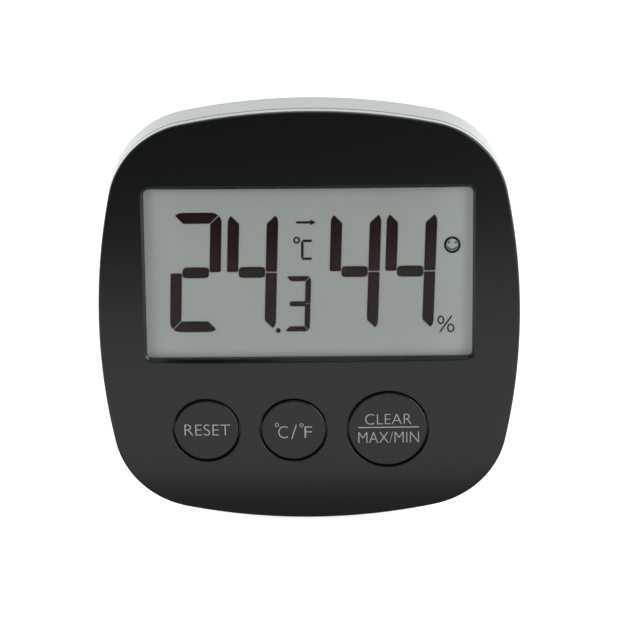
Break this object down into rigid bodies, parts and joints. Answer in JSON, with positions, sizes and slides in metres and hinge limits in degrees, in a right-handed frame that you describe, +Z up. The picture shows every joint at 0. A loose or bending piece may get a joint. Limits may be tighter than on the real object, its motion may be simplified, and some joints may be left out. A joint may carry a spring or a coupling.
{
  "type": "temperature humidity sensor",
  "caption": "Pillow-shaped indoor thermometer and hygrometer with a recessed display, round push buttons, side vents, a battery door and a fold-out stand.",
  "frame": {"origin": "centre of the footprint on the table, below the leaning case and its open stand", "axes": "+Z up, +X to the right seen from the front, the display faces -Y and leans back 12 degrees"},
  "size_m": [0.076, 0.0426, 0.078],
  "materials": {
    "panel_black": "satin moulded plastic",
    "frame_grey": "fine matt moulded plastic",
    "shell_grey": "fine matt moulded plastic",
    "lens_clear": "clear gloss plastic",
    "lens_tape": "black adhesive foil",
    "gasket_foam": "closed foam",
    "display_film": "satin polarising film",
    "display_glass": "clear float glass",
    "reflector_film": "silver grey film",
    "carrier_white": "matt moulded plastic",
    "connector_rubber": "striped silicone rubber",
    "board_green": "solder mask",
    "screw_steel": "zinc plated",
    "chip_epoxy": "glossy black epoxy",
    "crystal_can": "bright tin plate",
    "resistor_body": "black glazed",
    "capacitor_body": "tan ceramic",
    "sensor_element": "white vented cover",
    "thermistor_bead": "dipped black resin",
    "button_black": "satin moulded plastic",
    "switch_body": "matt moulded plastic",
    "switch_plunger": "matt moulded plastic",
    "cell_sleeve": "printed shrink sleeve",
    "contact_nickel": "nickel plated spring steel",
    "pad_rubber": "matt soft rubber",
    "magnet_nickel": "nickel plated"
  },
  "bodies": {
    "case": {"battery_cell": "cell_sleeve", "board_screws": "screw_steel", "capacitors": "capacitor_body", "case_screws": "screw_steel", "circuit_board": "board_green", "clear_switch": "switch_body", "contact_spring": "contact_nickel", "controller_chip": "chip_epoxy", "display_carrier": "carrier_white", "display_front_film": "display_film", "display_front_glass": "display_glass", "display_gasket": "gasket_foam", "display_lens": "lens_clear", "display_rear_glass": "display_glass", "display_reflector": "reflector_film", "front_frame": "frame_grey", "front_panel": "panel_black", "humidity_element": "sensor_element", "left_magnet": "magnet_nickel", "lens_tape": "lens_tape", "lower_connector": "connector_rubber", "negative_contact": "contact_nickel", "positive_contact": "contact_nickel", "rear_shell": "shell_grey", "reset_switch": "switch_body", "resistors": "resistor_body", "right_magnet": "magnet_nickel", "sensor_board": "board_green", "thermistor": "thermistor_bead", "timing_crystal": "crystal_can", "unit_switch": "switch_body", "upper_connector": "connector_rubber"},
    "stand": {"stand": "shell_grey", "stand_pad": "pad_rubber"},
    "battery_door": {"battery_door": "shell_grey"},
    "reset_button": {"reset_button": "button_black", "reset_plunger": "switch_plunger"},
    "unit_button": {"unit_button": "button_black", "unit_plunger": "switch_plunger"},
    "clear_button": {"clear_button": "button_black", "clear_plunger": "switch_plunger"}
  },
  "joints": [
    {"name": "stand_hinge", "type": "hinge", "parent": "case", "child": "stand", "pos_m": [0, -0.00114, 0.0123], "axis": [1, 0, 0], "range_deg": [0, 108.29]},
    {"name": "battery_door_hinge", "type": "hinge", "parent": "case", "child": "battery_door", "pos_m": [0, 0.00549, 0.04013], "axis": [-1, 0, 0], "range_deg": [0, 95]},
    {"name": "reset_button_press", "type": "slide", "parent": "case", "child": "reset_button", "axis": [0, 0.9781, -0.2079], "range_m": [0, 0.0005], "stiffness_N_per_m": 1500},
    {"name": "unit_button_press", "type": "slide", "parent": "case", "child": "unit_button", "axis": [0, 0.9781, -0.2079], "range_m": [0, 0.0005], "stiffness_N_per_m": 1500},
    {"name": "clear_button_press", "type": "slide", "parent": "case", "child": "clear_button", "axis": [0, 0.9781, -0.2079], "range_m": [0, 0.0005], "stiffness_N_per_m": 1500}
  ]
}
